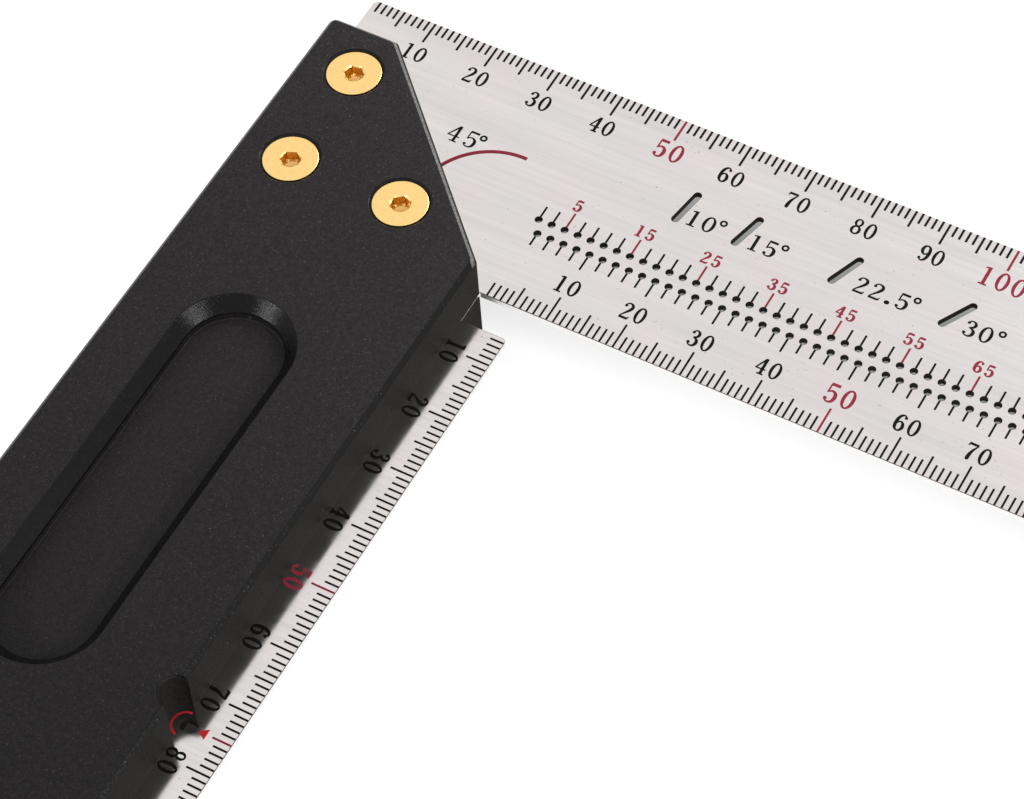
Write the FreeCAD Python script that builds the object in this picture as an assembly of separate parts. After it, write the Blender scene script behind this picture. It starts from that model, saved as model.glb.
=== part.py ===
import FreeCAD, Part
import math
import os

# Carpenter square: a ruled steel L-plate clamped between the two aluminium cheeks of its handle.
# Millimetres. X runs along the blade away from the handle, Y across the blade towards the head,
# Z up through the thickness. The origin is the corner where a board is set: the handle's inner
# face is X = 0, the blade's inner edge is Y = 0 and the underside of the plate is Z = 0.

# Steel plate
plate_thickness = 1.0
blade_width = 39.0
outer_scale_length = 200.0
blade_overrun = 2.5
blade_corner_radius = 0.8
ledge_width = 7.0
ledge_start = 5.2
ledge_corner_radius = 0.7
inner_corner_radius = 0.4

# Handle
handle_width = 39.0
cheek_thickness = 7.5
head_reach = 28.3
head_angle = 45.0
head_cut_drop = 0.2
heel_reach = 125.0
handle_corner_radius = 1.0
edge_break = 0.6

# Finger pocket, one in the outer face of each cheek
pocket_inset = 17.4
pocket_start = 18.55
pocket_length = 62.0
pocket_width = 17.7
pocket_depth = 3.0
pocket_chamfer = 1.9

# Marking holes, odd millimetres in the upper row and even ones in the lower row
marking_hole_diameter = 1.05
marking_hole_sides = 8
marking_step = 1.0
marking_end_margin = 55.5
odd_row_y = 14.5
even_row_y = 12.3

# Scribing pivot in the ledge, and the slots whose rays leave it
pivot_x = 0.2
pivot_y = -75.0
pivot_hole_width = 1.7
pivot_hole_length = 2.5
pivot_hole_offset = 0.5
slot_angles = (10.0, 15.0, 22.5, 30.0)
slot_row_y = 25.45
slot_width = 1.1
slot_length = 6.1
pencil_groove_radius = 2.5

# Countersunk screws with hexagon sockets
screw_diameter = 4.0
thread_engagement = 3.6
screw_head_diameter = 8.0
screw_head_rim = 0.15
screw_head_recess = 0.1
socket_across_flats = 2.5
socket_depth = 2.0
screw_passage_clearance = 0.25
thread_clearance = 0.02
thread_runout = 1.4
outer_screw_inset = 8.0
tip_screw_inset = 7.75
heel_screw_inset = 22.2
screw_spacing_x = 17.2
screw_spacing_y = 17.0

# Dowel pins that locate the cheeks on the plate
pin_diameter = 3.0
pin_length = 6.0
pin_clearance = 0.02
pin_end_clearance = 0.3

# Places that follow from the sizes above
blade_end = outer_scale_length - handle_width + blade_overrun
marking_count = int((blade_end - marking_end_margin) / marking_step)
pocket_x = pocket_inset - handle_width
pivot_hole_x = pivot_x + pivot_hole_offset
screw_radius = screw_diameter / 2
passage_radius = screw_radius + screw_passage_clearance
head_radius = screw_head_diameter / 2
head_height = screw_head_rim + head_radius - screw_radius
screw_top = plate_thickness + cheek_thickness - screw_head_recess
screw_tip = -thread_engagement
outer_screw_x = outer_screw_inset - handle_width
inner_screw_x = outer_screw_x + screw_spacing_x
tip_screw_y = head_reach - tip_screw_inset
head_screw_y = tip_screw_y - screw_spacing_y
heel_screw_y = heel_screw_inset - heel_reach
head_screws = (
    (outer_screw_x, tip_screw_y),
    (outer_screw_x, head_screw_y),
    (inner_screw_x, head_screw_y),
)
heel_screws = ((outer_screw_x, heel_screw_y), (inner_screw_x, heel_screw_y))
pin_x = (outer_screw_x + inner_screw_x) / 2
dowel_pins = (
    (pin_x, (tip_screw_y + head_screw_y) / 2),
    (pin_x, (heel_screw_y - heel_reach) / 2),
)
pin_middle = plate_thickness / 2
pin_hole_radius = pin_diameter / 2 + pin_clearance
overcut = 1.0
touch = 1e-4


def vector(x, y, z=0.0):
    return FreeCAD.Vector(x, y, z)


def prism(corners, low, high):
    """A polygon in the XY plane, raised from low to high."""
    loop = [vector(x, y, low) for x, y in corners]
    face = Part.Face(Part.makePolygon(loop + loop[:1]))
    return face.extrude(vector(0, 0, high - low))


def ring(across_flats, sides):
    """The corners of a regular polygon about the origin, from its width across flats."""
    radius = across_flats / 2 / math.cos(math.pi / sides)
    turns = [2 * math.pi * side / sides for side in range(sides)]
    return [(radius * math.cos(turn), radius * math.sin(turn)) for turn in turns]


def cylinder(x, y, radius, low, high):
    return Part.makeCylinder(radius, high - low, vector(x, y, low))


def turned(profile, x, y):
    """A closed profile of (radius, height) points, turned about the vertical through x, y."""
    loop = [vector(x + radius, y, height) for radius, height in profile]
    face = Part.Face(Part.makePolygon(loop + loop[:1]))
    return face.revolve(vector(x, y), vector(0, 0, 1), 360)


def obround(x, y, length, width, angle, low, high):
    """A slot with round ends, centred on x, y, its long axis at the angle from +X."""
    reach = (length - width) / 2
    radius = width / 2
    corners = [vector(-reach, -radius, low), vector(reach, -radius, low),
               vector(reach, radius, low), vector(-reach, radius, low)]
    right = Part.Arc(corners[1], vector(reach + radius, 0, low), corners[2])
    left = Part.Arc(corners[3], vector(-reach - radius, 0, low), corners[0])
    wire = Part.Wire([
        Part.makeLine(corners[0], corners[1]),
        right.toShape(),
        Part.makeLine(corners[2], corners[3]),
        left.toShape(),
    ])
    slot = Part.Face(wire).extrude(vector(0, 0, high - low))
    slot.rotate(vector(0, 0), vector(0, 0, 1), angle)
    slot.translate(vector(x, y))
    return slot


def upright_edges(shape, x, y):
    """The vertical edges of a shape that stand over x, y."""
    return [
        edge for edge in shape.Edges
        if all(math.hypot(v.X - x, v.Y - y) < touch for v in edge.Vertexes)
    ]


def edges_at(shape, height):
    """The edges of a shape that lie level at a height."""
    return [
        edge for edge in shape.Edges
        if all(abs(v.Z - height) < touch for v in edge.Vertexes)
    ]


def rounded(shape, radius, *places):
    """The shape with the upright edges over each place rounded."""
    for x, y in places:
        shape = shape.makeFillet(radius, upright_edges(shape, x, y))
    return shape


def single(shape):
    """The one solid that a cut leaves."""
    return shape.removeSplitter().Solids[0]


def plate_blank():
    """The L: the blade across the top, and the arm in the handle with its ledge."""
    outer = (-handle_width, blade_width)
    tip_outer = (blade_end, blade_width)
    tip_inner = (blade_end, 0)
    corner = (0, 0)
    ledge_inner = (0, -ledge_start)
    ledge_outer = (ledge_width, -ledge_start)
    ledge_heel = (ledge_width, -heel_reach)
    heel = (-handle_width, -heel_reach)
    blank = prism(
        [outer, tip_outer, tip_inner, corner, ledge_inner, ledge_outer, ledge_heel, heel],
        0, plate_thickness,
    )
    blank = rounded(blank, blade_corner_radius, outer, tip_outer, tip_inner)
    blank = rounded(blank, inner_corner_radius, corner)
    blank = rounded(blank, ledge_corner_radius, ledge_outer, ledge_heel)
    return rounded(blank, handle_corner_radius, heel)


def marking_holes():
    """One hole a step along the blade, in two rows by turns; holes this fine are eight-sided."""
    rows = (even_row_y, odd_row_y)
    outline = ring(marking_hole_diameter, marking_hole_sides)
    return [
        prism([(number * marking_step + x, rows[number % 2] + y) for x, y in outline],
              -overcut, plate_thickness + overcut)
        for number in range(1, marking_count + 1)
    ]


def angle_slots():
    """Slots in one row, each along the ray at its angle from the scribing pivot."""
    slots = []
    for angle in slot_angles:
        x = pivot_x + (slot_row_y - pivot_y) * math.tan(math.radians(angle))
        slots.append(obround(x, slot_row_y, slot_length, slot_width, 90 - angle,
                             -overcut, plate_thickness + overcut))
    return slots


def blade_plate():
    """The ruled plate with its marking holes, angle slots, pivot and fastener holes."""
    cuts = marking_holes() + angle_slots()
    cuts.append(obround(pivot_hole_x, pivot_y, pivot_hole_length, pivot_hole_width, 0,
                        -overcut, plate_thickness + overcut))
    for x, y in head_screws + heel_screws:
        cuts.append(cylinder(x, y, passage_radius, -overcut, plate_thickness + overcut))
    for x, y in dowel_pins:
        cuts.append(cylinder(x, y, pin_hole_radius, -overcut, plate_thickness + overcut))
    return single(plate_blank().cut(Part.makeCompound(cuts)))


def cheek_blank():
    """A cheek's outline, plate side down: square heel, and a head cut off at its angle."""
    slope = math.tan(math.radians(head_angle))
    cut_foot = (0, -head_cut_drop)
    cut_top = (-(head_reach + head_cut_drop) / slope, head_reach)
    head_corner = (-handle_width, head_reach)
    heel_outer = (-handle_width, -heel_reach)
    heel_inner = (0, -heel_reach)
    blank = prism([cut_foot, cut_top, head_corner, heel_outer, heel_inner], 0, cheek_thickness)
    return rounded(blank, handle_corner_radius, cut_top, head_corner, heel_outer)


def broken_edges(cheek):
    """The cheek with the sharp edge of its outer face taken off all round."""
    return cheek.makeChamfer(edge_break, edges_at(cheek, cheek_thickness))


def with_finger_pocket(cheek):
    """The cheek with an obround pocket: a flat floor, a short wall and a wide chamfer."""
    middle = -pocket_start - pocket_length / 2
    wall_tool = obround(pocket_x, middle, pocket_length - 2 * pocket_chamfer,
                        pocket_width - 2 * pocket_chamfer, 90,
                        cheek_thickness - pocket_depth, cheek_thickness + overcut)
    wall_top = cheek_thickness - pocket_chamfer
    rim_tool = obround(pocket_x, middle, pocket_length + 2 * overcut, pocket_width + 2 * overcut,
                       90, wall_top, cheek_thickness + 2 * overcut)
    rim_tool = rim_tool.makeChamfer(pocket_chamfer + overcut, edges_at(rim_tool, wall_top))
    return cheek.cut(Part.makeCompound([wall_tool, rim_tool]))


def pin_sockets():
    """Blind holes from the plate side for the dowel pins."""
    depth = pin_length / 2 - pin_middle + pin_end_clearance
    return [cylinder(x, y, pin_hole_radius, -overcut, depth) for x, y in dowel_pins]


def countersink(x, y):
    """Passage and cone for one screw; the cone carries on past the sunk head to the face."""
    head_top = cheek_thickness - screw_head_recess
    mouth = cheek_thickness + overcut
    cone_foot = head_top - screw_head_rim - head_radius
    shoulder = cone_foot + passage_radius
    profile = [(0, -overcut), (passage_radius, -overcut), (passage_radius, shoulder),
               (mouth - cone_foot, mouth), (0, mouth)]
    return turned(profile, x, y)


def front_cheek():
    """The upper cheek: half-round pencil groove by the pivot, pocket and countersunk holes."""
    cuts = pin_sockets() + [countersink(x, y) for x, y in head_screws + heel_screws]
    cuts.append(cylinder(0, pivot_y, pencil_groove_radius, -overcut, cheek_thickness + overcut))
    cheek = with_finger_pocket(broken_edges(cheek_blank()))
    cheek = single(cheek.cut(Part.makeCompound(cuts)))
    cheek.translate(vector(0, 0, plate_thickness))
    return cheek


def back_cheek():
    """The lower cheek, a mirror image: a plain fence face, and blind tapped holes."""
    depth = thread_runout - screw_tip
    cuts = pin_sockets()
    for x, y in head_screws + heel_screws:
        cuts.append(cylinder(x, y, screw_radius + thread_clearance, -overcut, depth))
    cheek = with_finger_pocket(broken_edges(cheek_blank()))
    cheek = single(cheek.cut(Part.makeCompound(cuts)))
    return cheek.mirror(vector(0, 0), vector(0, 0, 1))


def screw(x, y):
    """Countersunk screw, its head just under the face of the front cheek."""
    rim = screw_top - screw_head_rim
    neck = screw_top - head_height
    profile = [(0, screw_tip), (screw_radius, screw_tip), (screw_radius, neck),
               (head_radius, rim), (head_radius, screw_top), (0, screw_top)]
    corners = [(x + dx, y + dy) for dx, dy in ring(socket_across_flats, 6)]
    socket = prism(corners, screw_top - socket_depth, screw_top + overcut)
    return single(turned(profile, x, y).cut(socket))


def dowel_pin(x, y):
    """Hardened pin, half in each cheek."""
    half_length = pin_length / 2
    return cylinder(x, y, pin_diameter / 2, pin_middle - half_length, pin_middle + half_length)


def write(shape, node):
    shape.exportStep("parts/" + node + ".step")
    box = shape.BoundBox
    print(node, "valid", shape.isValid(), "solids", len(shape.Solids),
          "volume", round(shape.Volume, 2), "box", round(box.XMin, 2), round(box.XMax, 2),
          round(box.YMin, 2), round(box.YMax, 2), round(box.ZMin, 2), round(box.ZMax, 2))


def build():
    os.makedirs("parts", exist_ok=True)
    write(blade_plate(), "blade_plate")
    write(front_cheek(), "front_cheek")
    write(back_cheek(), "back_cheek")
    for number, (x, y) in enumerate(head_screws, 1):
        write(screw(x, y), "head_screw_%d" % number)
    for number, (x, y) in enumerate(heel_screws, 1):
        write(screw(x, y), "heel_screw_%d" % number)
    for number, (x, y) in enumerate(dowel_pins, 1):
        write(dowel_pin(x, y), "dowel_pin_%d" % number)


build()
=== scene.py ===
import math

import bpy
import numpy as np
from mathutils import Matrix, Vector
from mathutils.geometry import delaunay_2d_cdt


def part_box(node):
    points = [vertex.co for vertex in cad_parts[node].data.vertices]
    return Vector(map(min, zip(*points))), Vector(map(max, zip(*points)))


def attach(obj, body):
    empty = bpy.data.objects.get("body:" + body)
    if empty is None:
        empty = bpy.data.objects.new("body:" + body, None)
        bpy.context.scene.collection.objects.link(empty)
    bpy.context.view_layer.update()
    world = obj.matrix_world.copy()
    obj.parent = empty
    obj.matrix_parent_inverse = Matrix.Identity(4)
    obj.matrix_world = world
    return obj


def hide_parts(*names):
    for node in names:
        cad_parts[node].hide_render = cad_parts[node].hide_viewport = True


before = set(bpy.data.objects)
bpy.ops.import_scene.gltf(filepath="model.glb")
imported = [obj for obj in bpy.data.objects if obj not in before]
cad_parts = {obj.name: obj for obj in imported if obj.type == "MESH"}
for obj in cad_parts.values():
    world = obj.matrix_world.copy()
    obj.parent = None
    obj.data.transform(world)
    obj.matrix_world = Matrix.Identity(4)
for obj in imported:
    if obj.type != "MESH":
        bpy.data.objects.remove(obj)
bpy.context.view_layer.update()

# Shapes are worked out in millimetres, in the frame of the part, and a mesh is made of them in
# metres. X runs along the blade, Y across it towards the handle's head, Z up out of the ruled face.
MM = 0.001


def corners(node):
    """A node's lowest and highest corner, in millimetres."""
    low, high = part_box(node)
    return np.array(low) / MM, np.array(high) / MM


# Steel plate
PLATE_LOW, PLATE_HIGH = corners("blade_plate")
PLATE_BASE = PLATE_LOW[2]
PLATE_TOP = PLATE_HIGH[2]
BLADE_END = PLATE_HIGH[0]
BLADE_WIDTH = PLATE_HIGH[1]
HEEL = PLATE_LOW[1]
HANDLE_SIDE = PLATE_LOW[0]
LEDGE_WIDTH = 7.0
LEDGE_START = -5.2
PLATE_EDGE = 0.1
NOTCH_SETBACK = 0.25
HOLE_EDGE = 0.05

# Marking holes, slots and pivot
MARKING_HOLES = 108
MARKING_HOLE = 1.05
ODD_ROW = 14.5
EVEN_ROW = 12.3
PIVOT = np.array([0.2, -75.0])
PIVOT_HOLE = (2.5, 1.7)
PIVOT_HOLE_OFFSET = 0.5
SLOT = (6.1, 1.1)
SLOT_ROW = 25.45
SLOT_ANGLES = (10.0, 15.0, 22.5, 30.0)

# Handle
FRONT_LOW, FRONT_HIGH = corners("front_cheek")
BACK_LOW, BACK_HIGH = corners("back_cheek")
CHEEK = FRONT_HIGH[2] - FRONT_LOW[2]
HEAD = FRONT_HIGH[1]
HEAD_CUT_DROP = 0.2
HANDLE_CORNER = 1.0
EDGE_BREAK = 0.6
WORN_ROUND = 0.1
GROOVE_RADIUS = 2.5
POCKET_START = -18.55
POCKET = (62.0, 17.7)
POCKET_INSET = 17.4
POCKET_DEPTH = 3.0
POCKET_CHAMFER = 1.9

# Fasteners
HEAD_SCREWS = ("head_screw_1", "head_screw_2", "head_screw_3")
HEEL_SCREWS = ("heel_screw_1", "heel_screw_2")
PINS = ("dowel_pin_1", "dowel_pin_2")
SCREW_RADIUS = 2.0
SCREW_RIM = 0.15
HEAD_GAP = 0.12
SOCKET_FLATS = 2.5
SOCKET_DEPTH = 2.0
PASSAGE_RADIUS = 2.25
TAPPED_RADIUS = 2.02
TAPPED_DEPTH = 5.0
PIN_SOCKET_RADIUS = 1.52
PIN_SOCKET_DEPTH = 2.8


def middle(node):
    """The place of a fastener's axis in plan."""
    low, high = corners(node)
    return (low[:2] + high[:2]) / 2


# Outlines: closed loops of points in plan, counter-clockwise

def arc(centre, radius, start, end, steps):
    """Points at equal turns on a circle, from one angle in degrees to the other."""
    turn = np.radians(np.linspace(start, end, steps + 1))
    return np.column_stack([centre[0] + radius * np.cos(turn), centre[1] + radius * np.sin(turn)])


def circle(centre, radius, steps):
    """A whole circle, without the first point repeated."""
    return arc(centre, radius, 0, 360, steps)[:-1]


def turned(points, angle):
    """Points in plan, turned about the origin by an angle in degrees."""
    sine, cosine = math.sin(math.radians(angle)), math.cos(math.radians(angle))
    return points @ np.array([[cosine, sine], [-sine, cosine]])


def obround(centre, size, angle, steps):
    """Two half circles of the width, their centres length less width apart, at the angle from +X."""
    length, width = size
    reach = (length - width) / 2
    right = arc((reach, 0), width / 2, -90, 90, steps)
    left = arc((-reach, 0), width / 2, 90, 270, steps)
    return turned(np.concatenate([right, left]), angle) + centre


def rounded(places, steps=6):
    """A polygon of (x, y, radius) corners, each corner replaced by the arc tangent to its two sides."""
    loop = []
    for number, (x, y, radius) in enumerate(places):
        here = np.array([x, y])
        if radius == 0:
            loop.append(here[None])
            continue
        back = np.array(places[number - 1][:2]) - here
        ahead = np.array(places[(number + 1) % len(places)][:2]) - here
        back = back / np.linalg.norm(back)
        ahead = ahead / np.linalg.norm(ahead)
        half = math.acos(back @ ahead) / 2
        bisector = (back + ahead) / np.linalg.norm(back + ahead)
        centre = here + bisector * radius / math.sin(half)
        first = here + back * radius / math.tan(half) - centre
        last = here + ahead * radius / math.tan(half) - centre
        start = math.degrees(math.atan2(first[1], first[0]))
        sweep = math.degrees(math.atan2(last[1], last[0])) - start
        sweep = (sweep + 180) % 360 - 180
        loop.append(arc(centre, radius, start, start + sweep, steps))
    return np.concatenate(loop)


def inset(loop, distance):
    """The loop moved inwards: each point goes distance * (n1 + n2) / (1 + n1 . n2), where n1 and n2
    are the inward normals of the sides that meet in it. An outline that is a function of the
    distance is asked for its loop instead."""
    if callable(loop):
        return loop(distance)
    side = np.roll(loop, -1, axis=0) - loop
    normal = np.column_stack([-side[:, 1], side[:, 0]]) / np.linalg.norm(side, axis=1)[:, None]
    before = np.roll(normal, 1, axis=0)
    mitre = (normal + before) / (1 + np.sum(normal * before, axis=1))[:, None]
    return loop + distance * mitre


# Surfaces: (points, faces, finish), the finish being the number of a material on the piece

def carried(profile, loop):
    """A profile of (inset, height, finish) carried along a closed loop: a ring of points for each
    entry, and quads of its finish between it and the ring before. Going up the profile, the faces
    look away from the loop's middle, and going down, towards it."""
    loops = [(inset(loop, distance), height) for distance, height, _ in profile]
    rings = np.stack([np.column_stack([ring, np.full(len(ring), height)]) for ring, height in loops])
    index = np.arange(rings.shape[0] * rings.shape[1]).reshape(rings.shape[:2])
    ahead = np.roll(index, -1, axis=1)
    quads = np.stack([index[:-1], ahead[:-1], ahead[1:], index[1:]], axis=-1).reshape(-1, 4)
    finish = np.repeat([entry[2] for entry in profile[1:]], rings.shape[1])
    return rings.reshape(-1, 3), quads, finish


def flat(loops, height, finish, up):
    """The level region inside the first loop and outside the others, cut into triangles."""
    points = np.concatenate(loops)
    ends = np.cumsum([len(loop) for loop in loops])
    rings = [list(range(end - len(loop), end)) for end, loop in zip(ends, loops)]
    found, _, faces, _, _, inside = delaunay_2d_cdt(list(map(Vector, points)), [], rings, 1, 1e-7)
    faces = np.array([face for face, regions in zip(faces, inside) if regions == [0]])
    found = np.column_stack([np.array(found), np.full(len(found), height)])
    if not up:
        faces = faces[:, ::-1]
    return found, faces, np.full(len(faces), finish)


def fan(loop, height, tip, finish, up):
    """Triangles from a level loop to one point on its axis."""
    centre = np.array([*loop.mean(axis=0), tip])
    points = np.vstack([np.column_stack([loop, np.full(len(loop), height)]), centre])
    index = np.arange(len(loop))
    faces = np.column_stack([index, np.roll(index, -1), np.full(len(loop), len(loop))])
    if not up:
        faces = faces[:, ::-1]
    return points, faces, np.full(len(faces), finish)


def rounded_edge(radius, base, top, finish, steps=2):
    """The outer wall's profile from base to top, with quarter rounds of the radius at both edges."""
    turn = np.radians(np.linspace(0, 90, steps + 1))
    ins = radius * (1 - np.cos(turn))
    rise = radius * (1 - np.sin(turn))
    low = [(i, base + r, finish) for i, r in zip(ins[::-1], rise[::-1])]
    high = [(i, top - r, finish) for i, r in zip(ins, rise)]
    return low + high


def hole_edge(radius, base, top, finish):
    """A through hole's profile from top to base, its rims rounded by the radius."""
    return [(-inward, height, finish) for inward, height, _ in
            reversed(rounded_edge(radius, base, top, finish))]


def slab(outline, wall, openings, faces):
    """A flat piece: the wall profile carried along the outline from base to top, and each opening's
    profile, from high to low, along the opening's loop. What ends short of a face gets a floor."""
    base, top = wall[0][1], wall[-1][1]
    base_loops = [inset(outline, wall[0][0])]
    top_loops = [inset(outline, wall[-1][0])]
    parts = [carried(wall, outline)]
    for loop, profile in openings:
        parts.append(carried(profile, loop))
        for (distance, height, finish), up in ((profile[0], False), (profile[-1], True)):
            edge = inset(loop, distance)
            if height == top:
                top_loops.append(edge)
            elif height == base:
                base_loops.append(edge)
            else:
                parts.append(flat([edge], height, finish, up))
    parts.append(flat(top_loops, top, faces, True))
    parts.append(flat(base_loops, base, faces, False))
    return parts


def mirrored(parts):
    """The parts turned over about the plane Z = 0, faces still looking outwards."""
    return [(points * [1, 1, -1], faces[:, ::-1], finish) for points, faces, finish in parts]


def lifted(parts, height):
    """The parts moved up by the height."""
    return [(points + [0, 0, height], faces, finish) for points, faces, finish in parts]


def piece(name, parts, materials, stands_for=()):
    """One object of the parts: points that coincide become one, and millimetres become metres."""
    counts = np.cumsum([0] + [len(part[0]) for part in parts])
    points = np.concatenate([part[0] for part in parts])
    _, first, same = np.unique(np.round(points, 4), axis=0, return_index=True, return_inverse=True)
    same = same.ravel()
    faces = [same[part[1] + start].tolist() for start, part in zip(counts, parts)]
    mesh = bpy.data.meshes.new(name)
    mesh.from_pydata(points[first] * MM, [], sum(faces, []))
    for material in materials:
        mesh.materials.append(material)
    finish = np.concatenate([part[2] for part in parts])
    mesh.polygons.foreach_set("material_index", finish.astype(np.int32))
    mesh.polygons.foreach_set("use_smooth", np.ones(len(finish), bool))
    mesh.set_sharp_from_angle(angle=math.radians(18))
    mesh.update()
    made = bpy.data.objects.new(name, mesh)
    bpy.context.scene.collection.objects.link(made)
    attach(made, "root")
    if stands_for:
        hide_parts(*stands_for)
    return made


# The ruled plate

RULED, CUT, EDGE = 0, 1, 2


def plate_outline():
    """The L of blade and arm; between blade and ledge its edge lies just inside the cheeks."""
    return rounded([
        (HANDLE_SIDE, HEEL, HANDLE_CORNER), (LEDGE_WIDTH, HEEL, 0.7), (LEDGE_WIDTH, LEDGE_START, 0.7),
        (-NOTCH_SETBACK, LEDGE_START, 0), (-NOTCH_SETBACK, 0, 0.4), (BLADE_END, 0, 0.8),
        (BLADE_END, BLADE_WIDTH, 0.8), (HANDLE_SIDE, BLADE_WIDTH, 0.8),
    ])


def marking_row(number):
    """The height of a marking hole: odd and even millimetres take turns in two rows."""
    return ODD_ROW if number % 2 else EVEN_ROW


def plate_openings():
    """Marking holes, angle slots, the pivot hole and the passages of screws and pins."""
    edge = hole_edge(HOLE_EDGE, PLATE_BASE, PLATE_TOP, CUT)
    openings = [(circle((number, marking_row(number)), MARKING_HOLE / 2, 20), edge)
                for number in range(1, MARKING_HOLES + 1)]
    for angle in SLOT_ANGLES:
        x = PIVOT[0] + (SLOT_ROW - PIVOT[1]) * math.tan(math.radians(angle))
        openings.append((obround((x, SLOT_ROW), SLOT, 90 - angle, 14), edge))
    openings.append((obround(PIVOT + [PIVOT_HOLE_OFFSET, 0], PIVOT_HOLE, 0, 16), edge))
    for node in HEAD_SCREWS + HEEL_SCREWS:
        openings.append((circle(middle(node), PASSAGE_RADIUS, 32), edge))
    for node in PINS:
        openings.append((circle(middle(node), PIN_SOCKET_RADIUS, 24), edge))
    return openings


# The handle's cheeks

# The worn edge's finish also carries a painted highlight along the 45 degree cut.
BLASTED, MATT, GLOSSY, WORN = 0, 1, 2, 3


def cheek_outline():
    """Square heel, and head cut off at 45 degrees."""
    shoulder = HEAD + HEAD_CUT_DROP
    return rounded([
        (HANDLE_SIDE, HEEL, HANDLE_CORNER), (0, HEEL, 0), (0, -HEAD_CUT_DROP, 0),
        (-shoulder, HEAD, HANDLE_CORNER), (HANDLE_SIDE, HEAD, HANDLE_CORNER),
    ])


def cheek_wall():
    """Plate side square, outer edge broken by a chamfer, with a narrow worn round above it."""
    soft = WORN_ROUND
    return [
        (0, 0, MATT), (0, CHEEK - EDGE_BREAK, MATT),
        (EDGE_BREAK - soft, CHEEK - soft, WORN), (EDGE_BREAK, CHEEK - soft * 0.25, WORN),
        (EDGE_BREAK + soft, CHEEK, WORN),
    ]


def grooved_outline(distance):
    """The cheek's outline moved inwards by the distance, with the half-round pencil groove bitten
    out of its fence side: the groove keeps its radius, but opens a little at the worn round."""
    radius = GROOVE_RADIUS + max(0, distance - EDGE_BREAK + WORN_ROUND) / 2
    turn = math.degrees(math.acos(-distance / radius))
    bite = arc((0, PIVOT[1]), radius, -turn, turn - 360, 32)
    loop = inset(cheek_outline(), distance)
    after_heel = int(np.argmax(loop[:, 0] - loop[:, 1] * 1e-3)) + 1
    return np.concatenate([loop[:after_heel], bite, loop[after_heel:]])


def pocket_opening():
    """The finger pocket: a wide chamfer, a short wall and a small fillet down to a flat floor."""
    soft = 0.12
    centre = (HANDLE_SIDE + POCKET_INSET, POCKET_START - POCKET[0] / 2)
    floor = CHEEK - POCKET_DEPTH
    profile = [
        (-soft * 0.6, CHEEK, WORN), (soft * 0.4, CHEEK - soft * 0.5, WORN),
        (POCKET_CHAMFER - soft, CHEEK - POCKET_CHAMFER + soft, GLOSSY),
        (POCKET_CHAMFER, CHEEK - POCKET_CHAMFER - soft, GLOSSY),
        (POCKET_CHAMFER, floor + soft, MATT), (POCKET_CHAMFER + soft, floor, BLASTED),
    ]
    return obround(centre, POCKET, 90, 48), profile


def countersink(node):
    """A screw's hole in the front cheek: a rounded mouth, and a cone down to the passage."""
    low, high = corners(node)
    foot = high[2] - FRONT_LOW[2] - SCREW_RIM - (high[0] - low[0]) / 2
    mouth = CHEEK - foot
    soft = 0.05
    profile = [(-2 * soft, CHEEK, GLOSSY), (-soft, CHEEK - soft * 0.4, GLOSSY),
               (soft, CHEEK - soft * 2, GLOSSY),
               (mouth - PASSAGE_RADIUS, foot + PASSAGE_RADIUS, MATT),
               (mouth - PASSAGE_RADIUS, 0, MATT)]
    return circle(middle(node), mouth, 64), profile


def blind_hole(node, radius, depth):
    """A flat-bottomed hole in the cheek's plate side."""
    return circle(middle(node), radius, 32), [(0, depth, MATT), (0, 0, MATT)]


def front_cheek():
    """The ruled side's cheek, with the pencil groove, the pocket and the screws' countersinks."""
    openings = [pocket_opening()] + [countersink(node) for node in HEAD_SCREWS + HEEL_SCREWS]
    openings += [blind_hole(node, PIN_SOCKET_RADIUS, PIN_SOCKET_DEPTH) for node in PINS]
    return lifted(slab(grooved_outline, cheek_wall(), openings, BLASTED), FRONT_LOW[2])


def back_cheek():
    """The under side's cheek, with a pocket and the tapped holes."""
    openings = [pocket_opening()]
    openings += [blind_hole(node, TAPPED_RADIUS, TAPPED_DEPTH) for node in HEAD_SCREWS + HEEL_SCREWS]
    openings += [blind_hole(node, PIN_SOCKET_RADIUS, PIN_SOCKET_DEPTH) for node in PINS]
    return mirrored(slab(cheek_outline(), cheek_wall(), openings, BLASTED))


# Screws

FACE, SOCKET = 0, 1


def hexagon(flats, turn, steps=8):
    """Radius over angle of a hexagon: half the width across flats over the cosine of the angle from
    the middle of the nearest side. Points on every side, corners among them."""
    angle = np.radians(np.arange(6 * steps) * 60 / steps)
    radius = flats / 2 / np.cos(angle % math.radians(60) - math.radians(30))
    return turned(np.column_stack([radius * np.cos(angle), radius * np.sin(angle)]), turn)


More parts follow.
